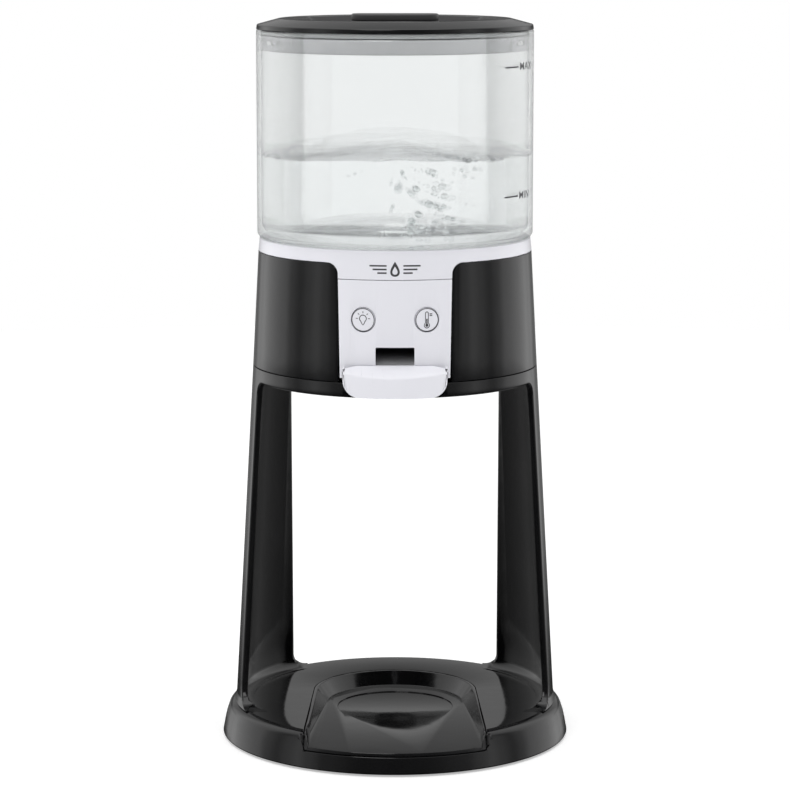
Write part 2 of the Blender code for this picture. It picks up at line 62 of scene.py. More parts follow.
# heights and radii that many pieces share, in millimetres
plan = {
    "deckTop": highEnd("base_shell").z,
    "baseRadius": highEnd("base_shell").x,
    "ringLow": lowEnd("stand_ring").z,
    "ringTop": highEnd("stand_ring").z,
    "shellLow": lowEnd("body_shell").z,
    "shellTop": highEnd("body_shell").z,
    "collarTop": highEnd("collar").z,
    "panelTop": highEnd("front_panel").z,
    "tankRadius": highEnd("tank_wall").x,
    "tankTop": highEnd("tank_wall").z,
    "lidTop": highEnd("lid_cover").z,
}


def coneRadius(z):  # outer cone of the legs, the black shell and the panel
    return 82.5 - (82.5 - 71.0) * (z - 43.0) / (257.5 - 43.0)


# camera and light

cameraSettings = {"place": (0, -1.5798, 0.43255), "tilt": 80.94, "lens": 138.95}


def makeCamera(s):
    bpy.ops.object.camera_add(location=s["place"], rotation=(math.radians(s["tilt"]), 0, 0))
    camera = bpy.context.object
    camera.name = "camera"
    camera.data.lens = s["lens"]
    camera.data.sensor_width = 36
    camera.data.clip_start = 0.01
    bpy.context.scene.camera = camera


makeCamera(cameraSettings)
bpy.context.scene.view_settings.view_transform = 'Standard'

lampSettings = [
    {"name": "topLamp", "place": (0, -0.35, 1.5), "size": (1.5, 1.1), "power": 5.0, "aim": (0, 0, 0.2)},
    {"name": "frontLamp", "place": (-0.5, -1.7, 1.5), "size": (1.0, 0.8), "power": 6.2, "aim": (0, 0, 0.2)},
]


def makeLamps():
    for s in lampSettings:
        bpy.ops.object.light_add(type='AREA', location=s["place"])
        lamp = bpy.context.object
        lamp.name = s["name"]
        lamp.data.shape = 'RECTANGLE'
        lamp.data.size, lamp.data.size_y = s["size"]
        lamp.data.energy = s["power"]
        away = Vector(s["place"]) - Vector(s["aim"])
        lamp.rotation_euler = away.to_track_quat('Z', 'Y').to_euler()


makeLamps()
print("camera and lamps made")


# shader maths

class Wire:
    def __init__(self, tree, socket=None):
        self.tree = tree
        self.socket = socket

    def add(self, kind, settings=None, sockets=None, output=0):
        node = self.tree.nodes.new(kind)
        for key, value in (settings or {}).items():
            if key == "stops":
                ramp = node.color_ramp
                while len(ramp.elements) < len(value):
                    ramp.elements.new(1.0)
                for element, (place, light) in zip(ramp.elements, value):
                    element.position = place
                    element.color = (light, light, light, 1.0)
            else:
                setattr(node, key, value)
        for key, value in (sockets or {}).items():
            self.link(node.inputs[key], value)
        return Wire(self.tree, node.outputs[output])

    def link(self, target, value):
        if isinstance(value, Wire):
            self.tree.links.new(value.socket, target)
        else:
            target.default_value = value

    def math(self, operation, first, second=0.0):
        return self.add('ShaderNodeMath', {"operation": operation}, {0: first, 1: second})

    def __add__(self, other):
        return self.math('ADD', self, other)

    def __radd__(self, other):
        return self.math('ADD', other, self)

    def __sub__(self, other):
        return self.math('SUBTRACT', self, other)

    def __rsub__(self, other):
        return self.math('SUBTRACT', other, self)

    def __mul__(self, other):
        return self.math('MULTIPLY', self, other)

    def __rmul__(self, other):
        return self.math('MULTIPLY', other, self)

    def __truediv__(self, other):
        return self.math('DIVIDE', self, other)

    def within(self, low, high):  # clamp to a range and stretch it over zero to one
        sockets = {"Value": self, "From Min": low, "From Max": high}
        return self.add('ShaderNodeMapRange', {"clamp": True}, sockets)

    def noise(self, place, scale, detail=3.0, roughness=0.5):
        sockets = {"Vector": place, "Scale": scale, "Detail": detail, "Roughness": roughness}
        return self.add('ShaderNodeTexNoise', None, sockets)

    def parts(self, vector):  # the three coordinates of a vector
        split = self.add('ShaderNodeSeparateXYZ', None, {"Vector": vector}).socket.node
        return [Wire(self.tree, socket) for socket in split.outputs]

    def mix(self, factor, first, second):
        sockets = {0: factor, 6: first, 7: second}
        return self.add('ShaderNodeMix', {"data_type": 'RGBA'}, sockets, output=2)


def newMaterial(name):
    material = bpy.data.materials.new(name)
    material.use_nodes = True
    tree = material.node_tree
    shader = tree.nodes["Principled BSDF"]
    wire = Wire(tree)
    place = wire.add('ShaderNodeTexCoord', output=3)
    return material, wire, shader, place


def finishMaterial(wire, shader, colour, roughness, height=None, bumpStrength=0.2, bumpDistance=0.0002):
    wire.link(shader.inputs["Base Color"], colour)
    wire.link(shader.inputs["Roughness"], roughness)
    if height is not None:
        sockets = {"Strength": bumpStrength, "Distance": bumpDistance, "Height": height}
        bump = wire.add('ShaderNodeBump', None, sockets)
        wire.link(shader.inputs["Normal"], bump)


def mouldedPlastic(name, s):  # a smooth moulded plastic: faint waviness, smudges and fine dust
    material, wire, shader, place = newMaterial(name)
    waves = wire.noise(place, s["waveScale"], 2.0)
    grain = wire.noise(place, s["grainScale"], 4.0, 0.6)
    smudges = wire.noise(place, 28.0, 5.0, 0.62).within(0.42, 0.68)
    dust = wire.noise(place, 2600.0, 2.0).within(0.72, 0.80)
    colour = wire.mix(smudges * s["tintShare"], (*s["colour"], 1), (*s["tint"], 1))
    colour = wire.mix(dust * s["dustShare"], colour, (*s["dust"], 1))
    roughness = s["roughness"] + smudges * s["smudge"] + dust * 0.12
    height = waves * s["waveShare"] + grain * (1 - s["waveShare"])
    finishMaterial(wire, shader, colour, roughness, height, s["bump"], s["bumpDepth"])
    shader.inputs["IOR"].default_value = 1.5
    return material


glossBlackSettings = {
    "colour": (0.0032, 0.0032, 0.0036), "tint": (0.006, 0.006, 0.0065), "tintShare": 0.8,
    "dust": (0.08, 0.08, 0.08), "dustShare": 0.12, "roughness": 0.09, "smudge": 0.05,
    "waveScale": 55.0, "grainScale": 900.0, "waveShare": 0.96, "bump": 0.25, "bumpDepth": 0.0005,
}
satinBlackSettings = {
    "colour": (0.018, 0.018, 0.019), "tint": (0.026, 0.026, 0.027), "tintShare": 0.7,
    "dust": (0.12, 0.12, 0.12), "dustShare": 0.25, "roughness": 0.34, "smudge": 0.06,
    "waveScale": 60.0, "grainScale": 1500.0, "waveShare": 0.5, "bump": 0.3, "bumpDepth": 0.0002,
}
darkPlasticSettings = {
    "colour": (0.030, 0.030, 0.032), "tint": (0.040, 0.040, 0.042), "tintShare": 0.7,
    "dust": (0.15, 0.15, 0.15), "dustShare": 0.2, "roughness": 0.42, "smudge": 0.06,
    "waveScale": 60.0, "grainScale": 1800.0, "waveShare": 0.3, "bump": 0.4, "bumpDepth": 0.0002,
}
whitePlasticSettings = {
    "colour": (0.90, 0.90, 0.955), "tint": (0.885, 0.885, 0.94), "tintShare": 0.3,
    "dust": (0.62, 0.61, 0.60), "dustShare": 0.1, "roughness": 0.22, "smudge": 0.03,
    "waveScale": 50.0, "grainScale": 1200.0, "waveShare": 0.85, "bump": 0.2, "bumpDepth": 0.0003,
}
inkSettings = {
    "colour": (0.05, 0.05, 0.055), "tint": (0.07, 0.07, 0.075), "tintShare": 0.8,
    "dust": (0.3, 0.3, 0.3), "dustShare": 0.2, "roughness": 0.5, "smudge": 0.05,
    "waveScale": 200.0, "grainScale": 3000.0, "waveShare": 0.4, "bump": 0.2, "bumpDepth": 0.00005,
}
rubberSettings = {
    "colour": (0.022, 0.022, 0.022), "tint": (0.035, 0.034, 0.033), "tintShare": 0.9,
    "dust": (0.2, 0.2, 0.19), "dustShare": 0.4, "roughness": 0.75, "smudge": 0.1,
    "waveScale": 150.0, "grainScale": 2500.0, "waveShare": 0.2, "bump": 0.6, "bumpDepth": 0.0003,
}
lidPlasticSettings = dict(
    satinBlackSettings, colour=(0.005, 0.005, 0.0055), tint=(0.009, 0.009, 0.0095), dustShare=0.1,
    roughness=0.13,
)
# the grip's black is painted lighter than the other black plastic: a painted highlight in place of the light
# its upright front face catches
gripPaintedLightSettings = dict(satinBlackSettings, colour=(0.062, 0.062, 0.064), tint=(0.074, 0.074, 0.076))
brownWireSettings = dict(satinBlackSettings, colour=(0.13, 0.055, 0.025), tint=(0.17, 0.075, 0.035))
blueWireSettings = dict(satinBlackSettings, colour=(0.02, 0.07, 0.32), tint=(0.03, 0.09, 0.38))


def clearPlastic(name, s):  # clear moulded plastic with a faint ripple and a little haze
    material, wire, shader, place = newMaterial(name)
    ripple = wire.noise(place, s["rippleScale"], 2.0)
    haze = wire.noise(place, 40.0, 4.0, 0.6).within(0.45, 0.75)
    colour = wire.mix(haze, (*s["colour"], 1), (*s["hazeColour"], 1))
    finishMaterial(wire, shader, colour, s["roughness"] + haze * 0.02, ripple, s["bump"], 0.0003)
    shader.inputs["Transmission Weight"].default_value = s["transmission"]
    shader.inputs["IOR"].default_value = s["ior"]
    if s["thinness"] > 0:  # a thin wall lets part of the light pass straight on
        straight = wire.add('ShaderNodeBsdfTransparent', None, {"Color": (*s["colour"], 1)})
        solid = Wire(wire.tree, shader.outputs[0])
        surface = wire.add('ShaderNodeMixShader', None, {0: s["thinness"], 1: solid, 2: straight})
        wire.link(wire.tree.nodes["Material Output"].inputs["Surface"], surface)
    return material


tankPlasticSettings = {
    "colour": (0.955, 0.963, 0.963), "hazeColour": (0.945, 0.955, 0.955), "roughness": 0.012,
    "rippleScale": 30.0, "bump": 0.02, "transmission": 1.0, "ior": 1.46, "thinness": 0.5,
}
waterSettings = {
    "colour": (0.99, 0.997, 0.997), "hazeColour": (0.98, 0.99, 0.992), "roughness": 0.0,
    "rippleScale": 60.0, "bump": 0.03, "transmission": 1.0, "ior": 1.23, "thinness": 0.0,
}
bubbleSettings = {
    "colour": (0.80, 0.82, 0.82), "hazeColour": (0.70, 0.72, 0.72), "roughness": 0.0,
    "rippleScale": 200.0, "bump": 0.02, "transmission": 1.0, "ior": 1.42, "thinness": 0.0,
}
siliconeSettings = {
    "colour": (0.86, 0.87, 0.87), "hazeColour": (0.78, 0.79, 0.80), "roughness": 0.38,
    "rippleScale": 90.0, "bump": 0.2, "transmission": 0.35, "ior": 1.41, "thinness": 0.0,
}


def metal(name, s):  # a metal with brushing round the centre line, or a cast grain
    material, wire, shader, place = newMaterial(name)
    x, y, z = wire.parts(place)
    radius = wire.math('SQRT', x * x + y * y)
    if s["brushing"] == "round":
        around = wire.math('ARCTAN2', y, x)
        line = wire.add('ShaderNodeCombineXYZ', None, {0: radius * 2200.0, 1: around * 3.0, 2: z * 900.0})
        grain = wire.noise(line, 1.0, 4.0, 0.6)
    elif s["brushing"] == "level":
        line = wire.add('ShaderNodeCombineXYZ', None, {0: x * 14.0, 1: y * 14.0, 2: z * 1800.0})
        grain = wire.noise(line, 1.0, 4.0, 0.6)
    else:
        grain = wire.noise(place, 1100.0, 4.0, 0.65)
    stains = wire.noise(place, 45.0, 4.0).within(0.45, 0.7)
    colour = wire.mix(grain * 0.5 + stains * 0.3, (*s["colour"], 1), (*s["darkColour"], 1))
    finishMaterial(wire, shader, colour, s["roughness"] + grain * 0.14, grain, s["bump"], 0.0001)
    shader.inputs["Metallic"].default_value = 1.0
    return material


steelSettings = {
    "colour": (0.93, 0.94, 0.95), "darkColour": (0.86, 0.87, 0.88), "roughness": 0.30, "bump": 0.08,
    "brushing": "round",
}
silverSettings = {
    "colour": (0.66, 0.66, 0.67), "darkColour": (0.60, 0.60, 0.61), "roughness": 0.16, "bump": 0.02,
    "brushing": "level",
}
aluminiumSettings = {
    "colour": (0.66, 0.67, 0.69), "darkColour": (0.50, 0.51, 0.53), "roughness": 0.36, "bump": 0.3,
    "brushing": "cast",
}
brassSettings = {
    "colour": (0.72, 0.54, 0.22), "darkColour": (0.55, 0.40, 0.16), "roughness": 0.22, "bump": 0.1,
    "brushing": "cast",
}


def boardMaterial():  # green circuit board with lighter copper tracks under the lacquer
    material, wire, shader, place = newMaterial("circuitBoard")
    tracks = wire.add('ShaderNodeTexBrick', {"offset": 0.5}, {
        "Vector": place, "Scale": 260.0, "Mortar Size": 0.04, "Color1": (0, 0, 0, 1),
        "Color2": (0, 0, 0, 1), "Mortar": (1, 1, 1, 1),
    })
    weave = wire.noise(place, 1800.0, 2.0)
    colour = wire.mix(tracks, (0.010, 0.11, 0.045, 1), (0.03, 0.21, 0.08, 1))
    finishMaterial(wire, shader, colour, 0.3 + weave * 0.15, tracks * 0.7 + weave * 0.3, 0.3, 0.0001)
    return material


finishes = {
    "black_gloss": mouldedPlastic("glossBlack", glossBlackSettings),
    "black_satin": mouldedPlastic("satinBlack", satinBlackSettings),
    "white_gloss": mouldedPlastic("whitePlastic", whitePlasticSettings),
    "dark_plastic": mouldedPlastic("darkPlastic", darkPlasticSettings),
    "foot_rubber": mouldedPlastic("footRubber", rubberSettings),
    "brown_wire": mouldedPlastic("brownWire", brownWireSettings),
    "blue_wire": mouldedPlastic("blueWire", blueWireSettings),
    "clear_plastic": clearPlastic("tankPlastic", tankPlasticSettings),
    "silicone": clearPlastic("silicone", siliconeSettings),
    "silver_plastic": metal("silverPlating", silverSettings),
    "stainless": metal("stainlessSteel", steelSettings),
    "aluminium": metal("castAluminium", aluminiumSettings),
    "brass": metal("brightBrass", brassSettings),
    "circuit_board": boardMaterial(),
}
ink = mouldedPlastic("printedInk", inkSettings)
lidPlastic = mouldedPlastic("lidPlastic", lidPlasticSettings)
gripPaintedLight = mouldedPlastic("gripPaintedLight", gripPaintedLightSettings)
water = clearPlastic("water", waterSettings)
bubbleFilm = clearPlastic("bubbleFilm", bubbleSettings)

for subpart in frame["record"]["subparts"]:
    cadMaterials = frame["nodes"][subpart["node"]].data.materials
    cadMaterials.clear()
    cadMaterials.append(finishes[subpart["material_slot"]])
print("materials made")


# modelling helpers

def useOnly(piece):
    bpy.ops.object.select_all(action='DESELECT')
    piece.select_set(True)
    bpy.context.view_layer.objects.active = piece


def drawChain(name, points):  # a vertex moved and extruded from point to point, in millimetres
    bpy.ops.object.select_all(action='DESELECT')
    bpy.ops.mesh.primitive_plane_add(size=mm, location=(0, 0, 0))
    piece = bpy.context.object
    piece.name = name
    bpy.ops.object.mode_set(mode='EDIT')
    bpy.ops.mesh.select_all(action='SELECT')
    bpy.ops.mesh.merge(type='CENTER')
    corners = [Vector(point) * mm for point in points]
    bpy.ops.transform.translate(value=corners[0])
    for here, after in zip(corners, corners[1:]):
        bpy.ops.mesh.extrude_region_move(TRANSFORM_OT_translate={"value": after - here})
    bpy.ops.mesh.select_all(action='SELECT')
    return piece


def closeUp():  # merge what meets and turn the faces outwards
    bpy.ops.mesh.select_all(action='SELECT')
    bpy.ops.mesh.remove_doubles(threshold=mm * 0.002)
    bpy.ops.mesh.normals_make_consistent(inside=False)
    bpy.ops.object.mode_set(mode='OBJECT')


def softened(corners, pieces=5):  # a closed outline whose corners (u, v, radius) are rounded off
    outline = []
    count = len(corners)
    for index, (u, v, radius) in enumerate(corners):
        here = Vector((u, v))
        if radius == 0:
            outline.append((u, v))
            continue
        before = (Vector(corners[index - 1][:2]) - here).normalized()
        after = (Vector(corners[(index + 1) % count][:2]) - here).normalized()
        opening = before.angle(after)
        centre = here + (before + after).normalized() * radius / math.sin(opening / 2)
        first = here + before * radius / math.tan(opening / 2) - centre
        sweep = first.angle_signed(here + after * radius / math.tan(opening / 2) - centre)
        for step in range(pieces + 1):
            turnBy = -sweep * step / pieces
            du = first.x * math.cos(turnBy) - first.y * math.sin(turnBy)
            dv = first.x * math.sin(turnBy) + first.y * math.cos(turnBy)
            outline.append((centre.x + du, centre.y + dv))
    return outline


def turnPiece(name, outline, steps=240, centreY=0.0, openPath=False):  # spin an outline of (radius, z)
    path = list(outline) if openPath else list(outline) + [outline[0]]
    piece = drawChain(name, [(r, centreY, z) for r, z in path])
    bpy.ops.mesh.spin(steps=steps, angle=fullTurn, center=(0, centreY * mm, 0), axis=(0, 0, 1))
    closeUp()
    return piece


def prism(name, points, along):  # fill an outline of points and pull it along a vector
    piece = drawChain(name, list(points) + [points[0]])
    bpy.ops.mesh.remove_doubles(threshold=mm * 0.002)
    bpy.ops.mesh.select_all(action='SELECT')
    bpy.ops.mesh.edge_face_add()
    bpy.ops.mesh.extrude_region_move(TRANSFORM_OT_translate={"value": Vector(along) * mm})
    closeUp()
    return piece


def bridged(name, low, high):  # a solid between two rings of points
    rings = []
    for ring in (low, high):
        rings.append(drawChain(name, list(ring) + [ring[0]]))
        bpy.ops.mesh.remove_doubles(threshold=mm * 0.002)
        bpy.ops.object.mode_set(mode='OBJECT')
    useOnly(rings[0])
    rings[1].select_set(True)
    bpy.ops.object.join()
    bpy.ops.object.mode_set(mode='EDIT')
    bpy.ops.mesh.select_all(action='SELECT')
    bpy.ops.mesh.bridge_edge_loops()
    bpy.ops.mesh.select_all(action='SELECT')
    bpy.ops.mesh.fill_holes(sides=0)
    closeUp()
    return rings[0]


def frontPrism(outline, near=-100, far=-40):  # an outline in x and z, pulled along y
    return prism("tool", [(x, near, z) for x, z in outline], (0, far - near, 0))


def sidePrism(outline, left=-100, right=100):  # an outline in y and z, pulled along x
    return prism("tool", [(left, y, z) for y, z in outline], (right - left, 0, 0))


def planPrism(outline, low, high):  # an outline in x and y, pulled up
    return prism("tool", [(x, y, low) for x, y in outline], (0, 0, high - low))


def boxTool(x0, x1, y0, y1, z0, z1):
    return planPrism([(x0, y0), (x1, y0), (x1, y1), (x0, y1)], z0, z1)


def mirrorOutline(points):
    return list(points) + [(-u, v) for u, v in reversed(points)]


def carve(piece, tool, operation='DIFFERENCE'):
    modifier = piece.modifiers.new("carve", 'BOOLEAN')
    modifier.operation = operation
    modifier.solver = 'EXACT'
    modifier.object = tool
    useOnly(piece)
    bpy.ops.object.modifier_apply(modifier="carve")
    bpy.data.objects.remove(tool)


def markEdges(piece, angle, where):  # weigh the sharp edges whose ends both pass a test
    useOnly(piece)
    bpy.ops.object.mode_set(mode='EDIT')
    bpy.ops.mesh.select_all(action='DESELECT')
    bpy.ops.mesh.select_mode(type='EDGE')
    bpy.ops.mesh.edges_select_sharp(sharpness=math.radians(angle))
    bpy.ops.object.mode_set(mode='OBJECT')
    mesh = piece.data
    weights = mesh.attributes.new("bevel_weight_edge", 'FLOAT', 'EDGE')
    for edge in mesh.edges:
        ends = [mesh.vertices[index].co for index in edge.vertices]
        weights.data[edge.index].value = 1.0 if edge.select and all(where(end) for end in ends) else 0.0
    bpy.context.tool_settings.mesh_select_mode = (True, False, False)


def roundEdges(piece, width, segments=3, angle=35, where=None):
    if where:
        markEdges(piece, angle, where)
    modifier = piece.modifiers.new("rounding", 'BEVEL')
    modifier.width = width * mm
    modifier.segments = segments
    modifier.limit_method = 'WEIGHT' if where else 'ANGLE'
    modifier.angle_limit = math.radians(angle)
    modifier.use_clamp_overlap = False
    useOnly(piece)
    bpy.ops.object.modifier_apply(modifier="rounding")


def dress(piece, slotName, body, *nodes, material=None, angle=35):  # smooth, paint and hang on its body
    useOnly(piece)
    bpy.ops.object.shade_smooth_by_angle(angle=math.radians(angle))
    piece.data.materials.clear()
    piece.data.materials.append(material or finishes[slotName])
    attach(piece, body)
    if nodes:
        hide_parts(*nodes)
    return piece


def wrapRound(piece, radius):  # lay a flat mesh (x across, z up, y depth) on an upright cylinder
    for vertex in piece.data.vertices:
        angle = vertex.co.x / radius
        reach = radius - vertex.co.y
        vertex.co.x = reach * math.sin(angle)
        vertex.co.y = -reach * math.cos(angle)


# the round base and the bottle tray

baseSettings = {"wellRadius": 43.5, "wellY": 12.0, "halfWidth": 46.5, "panTop": 9.6, "seam": 0.25}


def wellOutline(radius, half, front):
    wellY = baseSettings["wellY"]
    back = []
    for step in range(49):
        angle = math.pi * step / 48
        back.append((radius * math.cos(angle), wellY + radius * math.sin(angle)))
    return [(half, front), (half, -65)] + back + [(-half, -65), (-half, front)]


def buildBase(s):
    deck = plan["deckTop"]
    outer = plan["baseRadius"]
    section = [
        (0, deck, 0), (83.2, deck, 1.6), (87.4, 17.2, 5.0), (89.6, 10.6, 30.0), (90.7, 5.2, 12.0),
        (outer, 0.9, 0.7), (outer - 2.6, 0.9, 0.6), (87.2, 10.0, 2.0), (84.6, deck - 2.5, 2.0),
        (0, deck - 2.5, 0),
    ]
    base = turnPiece("roundBase", softened(section, 7)[:-1] + [(0, deck - 2.5)], openPath=True)
    tub = planPrism(wellOutline(s["wellRadius"] + 2.2, s["halfWidth"] + 2.2, -100), 7.4, deck - 1.5)
    trim = turnPiece("tool", [(0, 30), (88.0, 30), (88.0, 0), (0, 0)], openPath=True)
    carve(tub, trim, 'INTERSECT')
    carve(base, tub, 'UNION')
    carve(base, planPrism(wellOutline(s["wellRadius"], s["halfWidth"], -120), s["panTop"], 40))
    roundEdges(base, 0.35, 2)
    dress(base, "black_gloss", "housing", "base_shell")


def buildTray(s):
    inset = s["seam"]
    low = lowEnd("bottle_tray").z
    top = plan["deckTop"] - 0.15
    tray = planPrism(wellOutline(s["wellRadius"] - inset, s["halfWidth"] - inset, -120), low, top)
    rim = [(0, 40), (83.4, 40), (84.6, 18.4), (87.2, 16.6), (89.3, 11.7), (89.9, low - 1), (0, low - 1)]
    carve(tray, turnPiece("tool", rim, openPath=True), 'INTERSECT')
    floorTop = 11.7
    lower = wellOutline(36.5, 44.0, -120)
    upper = wellOutline(s["wellRadius"] - 1.0, s["halfWidth"] - 1.0, -120)
    lower[1] = (44.0, -52)
    lower[-2] = (-44.0, -52)
    carve(tray, bridged("tool", [(x, y, floorTop) for x, y in lower], [(x, y, top + 1.0) for x, y in upper]))
    rest = softened([(0, 20, 0), (31.6, 20, 0), (30.6, 10.9, 0), (0, 10.9, 0)])
    carve(tray, turnPiece("tool", rest, centreY=5.0, openPath=True))
    roundEdges(tray, 0.3, 2)
    dress(tray, "black_gloss", "tray", "bottle_tray")


buildBase(baseSettings)
buildTray(baseSettings)
print("base and tray made")


# the legs and the ring under the body, in one smooth wall

standSettings = {
    "wall": 2.9, "frontY": -22.5, "rearX": 56, "frontFoot": 12, "rearFoot": 7.5, "frontArch": 7,
    "rearArch": 4, "cove": 5.0, "edge": 0.8,
}


def quarter(centreU, centreV, radius, start, end, steps=10):
    points = []
    for step in range(steps + 1):
        angle = math.radians(start + (end - start) * step / steps)
        points.append((centreU + radius * math.cos(angle), centreV + radius * math.sin(angle)))
    return points


def buildStand(s):
    foot = plan["deckTop"] + 0.05
    low = plan["ringLow"]
    top = plan["ringTop"]
    wall = s["wall"]
    section = [
        (85.0, foot, 0), (84.05, foot + 4, 8), (coneRadius(top), top, 0.3), (coneRadius(top) - 2.8, top, 0.3),
        (71.5, 193.2, 0), (64.0, 193.2, 0.3), (64.0, low, 0.6), (coneRadius(low) - wall, low, 0),
        (83.7 - wall, foot + 0.3, s["cove"]), (83.7 - wall - s["cove"] * 1.15, foot + 0.3, 0),
        (83.7 - wall - s["cove"] * 1.15, foot, 0),
    ]
    stand = turnPiece("stand", softened(section, 8))
    front = [(-130, foot - 1), (s["frontY"] - s["frontFoot"], foot - 1)]
    front += quarter(s["frontY"] - s["frontFoot"], foot + s["frontFoot"], s["frontFoot"], -90, 0)
    front += quarter(s["frontY"] - s["frontArch"], low - s["frontArch"], s["frontArch"], 0, 90)
    carve(stand, sidePrism(front + [(-130, low)]))
    half = [(s["rearX"] - s["rearFoot"], foot - 1)]
    half += quarter(s["rearX"] - s["rearFoot"], foot + s["rearFoot"], s["rearFoot"], -90, 0)
    half += quarter(s["rearX"] - s["rearArch"], low - s["rearArch"], s["rearArch"], 0, 90)
    carve(stand, frontPrism(mirrorOutline(half), -130, 130))
    carve(stand, boxTool(-27.3, 27.3, -130, -69.9, 150, 240))
    roundEdges(stand, s["edge"], 4, 35, lambda place: foot + 3 < place.z / mm < top - 1.5)
    dress(stand, "black_gloss", "housing", "left_leg", "right_leg", "stand_ring")


buildStand(standSettings)
print("stand made")


# the heater body: black shell, white collar with its apron, and the panel

bodySettings = {
    "shellWall": 2.6, "openingLow": 27.9, "openingHigh": 28.95, "corner": 5.2,
    "seam": 0.3, "panelWall": 2.4, "panelLow": 200.2, "panelStep": 203.5,
    "windowHalf": 9.7, "windowLow": 207.1, "windowHigh": 216.1,
    "inletHalf": 12.8, "inletLow": 204.6, "inletHigh": 219.4,
}


def openingSide(s, inset):  # right side of the opening in the black shell, up to its rounded corner
    top = plan["shellTop"] + inset
    corner = s["corner"] + inset
    across = s["openingHigh"] - inset + corner
    return [(s["openingLow"] - inset, 150)] + quarter(across, top - corner, corner, 180, 90, 12)


def buildShell(s):
    low = plan["shellLow"]
    top = plan["shellTop"]
    wall = s["shellWall"]
    section = [
        (coneRadius(low), low, 0.35), (coneRadius(top), top, 0.3), (coneRadius(top) - wall, top, 0.2),
        (71.4, low + 2.0, 0.5), (64.5, low + 2.0, 0.2), (64.5, low, 0.2),
    ]
    shell = turnPiece("bodyShell", softened(section, 4))
    side = openingSide(s, 0)
    carve(shell, frontPrism(mirrorOutline(side + [(side[-1][0], 300)]), -130))
    inlet = boxTool(-s["inletHalf"], s["inletHalf"], 60, 130, s["inletLow"], s["inletHigh"])
    carve(shell, inlet)
    roundEdges(shell, 0.3, 2)
    dress(shell, "black_gloss", "housing", "body_shell")


def buildCollar(s):
    low = plan["panelTop"] + s["seam"]
    top = plan["collarTop"]
    shoulder = plan["shellTop"] + s["seam"]
    inside = coneRadius(low) - 3.3
    section = [
        (coneRadius(low), low, 0.3), (71.0, shoulder, 30), (70.3, top, 0.5), (61.2, top, 0.6),
        (61.2, 257.0, 0.4), (47.0, 257.0, 0.3), (47.0, 254.8, 0.3), (inside, 254.8, 1.0), (inside, low, 0.3),
    ]
    collar = turnPiece("collar", softened(section, 4))
    step = turnPiece("tool", [(64, 200), (64, 252), (68.0, 252), (68.0, shoulder), (90, shoulder), (90, 200)])
    edge = openingSide(s, s["seam"])
    carve(step, frontPrism(mirrorOutline([(edge[0][0], 190)] + edge[1:] + [(edge[-1][0], 290)]), -130, -30))
    carve(collar, step)
    roundEdges(collar, 0.25, 2, 40)
    dress(collar, "white_gloss", "housing", "collar")


def buildPanel(s):
    top = plan["panelTop"]
    low = s["panelLow"]
    wall = s["panelWall"]
    inset = s["seam"]
    section = [
        (coneRadius(low), low, 0), (coneRadius(top), top, 0.3), (coneRadius(top) - wall, top, 0.3),
        (coneRadius(low) - wall, low, 0),
    ]
    panel = turnPiece("frontPanel", softened(section, 4))
    outline = [(s["openingLow"] - inset, low - 5), (s["openingHigh"] - inset, top + 5)]
    carve(panel, frontPrism(mirrorOutline(outline), -130), 'INTERSECT')
    carve(panel, boxTool(-26.5, 26.5, -130, -40, low - 5, s["panelStep"]))
    window = softened([
        (-s["windowHalf"], s["windowLow"], 0.5), (s["windowHalf"], s["windowLow"], 0.5),
        (s["windowHalf"], s["windowHigh"], 0.5), (-s["windowHalf"], s["windowHigh"], 0.5),
    ], 4)
    carve(panel, frontPrism(window, -130, -50))
    for side in (-1, 1):
        middle, inward = buttonLine(side)
        carve(panel, roundTool(middle - 8 * inward, inward, 6.3, 20))
    roundEdges(panel, 0.25, 2, 40)
    dress(panel, "white_gloss", "housing", "front_panel")


buttonSettings = {"x": 15.95, "z": 229.9, "radius": 6.0, "stem": 2.0}


def buttonLine(side):  # where a button's centre meets the panel, and the way it is pressed
    x = side * buttonSettings["x"]
    z = buttonSettings["z"]
    middle = Vector((x, -math.sqrt(coneRadius(z) ** 2 - x ** 2), z))
    return middle, Vector((-middle.x, -middle.y, 0)).normalized()


def roundTool(start, direction, radius, length):
    bpy.ops.object.select_all(action='DESELECT')
    centre = (start + direction * length / 2) * mm
    turn = direction.to_track_quat('Z', 'Y').to_euler()
    bpy.ops.mesh.primitive_cylinder_add(
        vertices=96, radius=radius * mm, depth=length * mm, location=centre, rotation=turn,
    )
    bpy.ops.object.transform_apply(location=True, rotation=True, scale=True)
    return bpy.context.object


def aimAt(piece, middle, inward):  # stand a piece that was turned about z on a button's line, face outwards
    turn = (-inward).to_track_quat('Z', 'Y')
    piece.rotation_mode = 'QUATERNION'
    piece.rotation_quaternion = turn
    piece.location = middle * mm
    useOnly(piece)
    bpy.ops.object.transform_apply(location=True, rotation=True, scale=True)


def buildButton(side, name, node, s):
    middle, inward = buttonLine(side)
    radius = s["radius"]
    section = [
        (0, 0.28, 0), (4.2, 0.24, 0), (radius, 0.0, 0.5), (radius, -4.0, 0), (7.3, -4.0, 0.1),
        (7.3, -4.9, 0.1), (s["stem"], -4.9, 0), (s["stem"], -5.7, 0.2), (0, -5.7, 0),
    ]
    button = turnPiece(name, softened(section, 5), 128, openPath=True)
    aimAt(button, middle, inward)
    dress(button, "white_gloss", node, node)


def windowMaterial():  # black inside, with painted light: paler towards the sill where light falls in
    material, wire, shader, place = newMaterial("windowPaintedLight")
    z = wire.parts(place)[2]
    grain = wire.noise(place, 1500.0, 3.0)
    # painted light: the colour is mixed paler towards the sill, in place of the light that falls into the
    # recess
    paintedSillLight = z.within(0.2128, 0.2072) * (0.85 + grain * 0.3)
    colour = wire.mix(paintedSillLight * paintedSillLight, (0.006, 0.006, 0.007, 1), (0.62, 0.62, 0.64, 1))
    finishMaterial(wire, shader, colour, 0.4 + grain * 0.1, grain, 0.2, 0.0001)
    return material


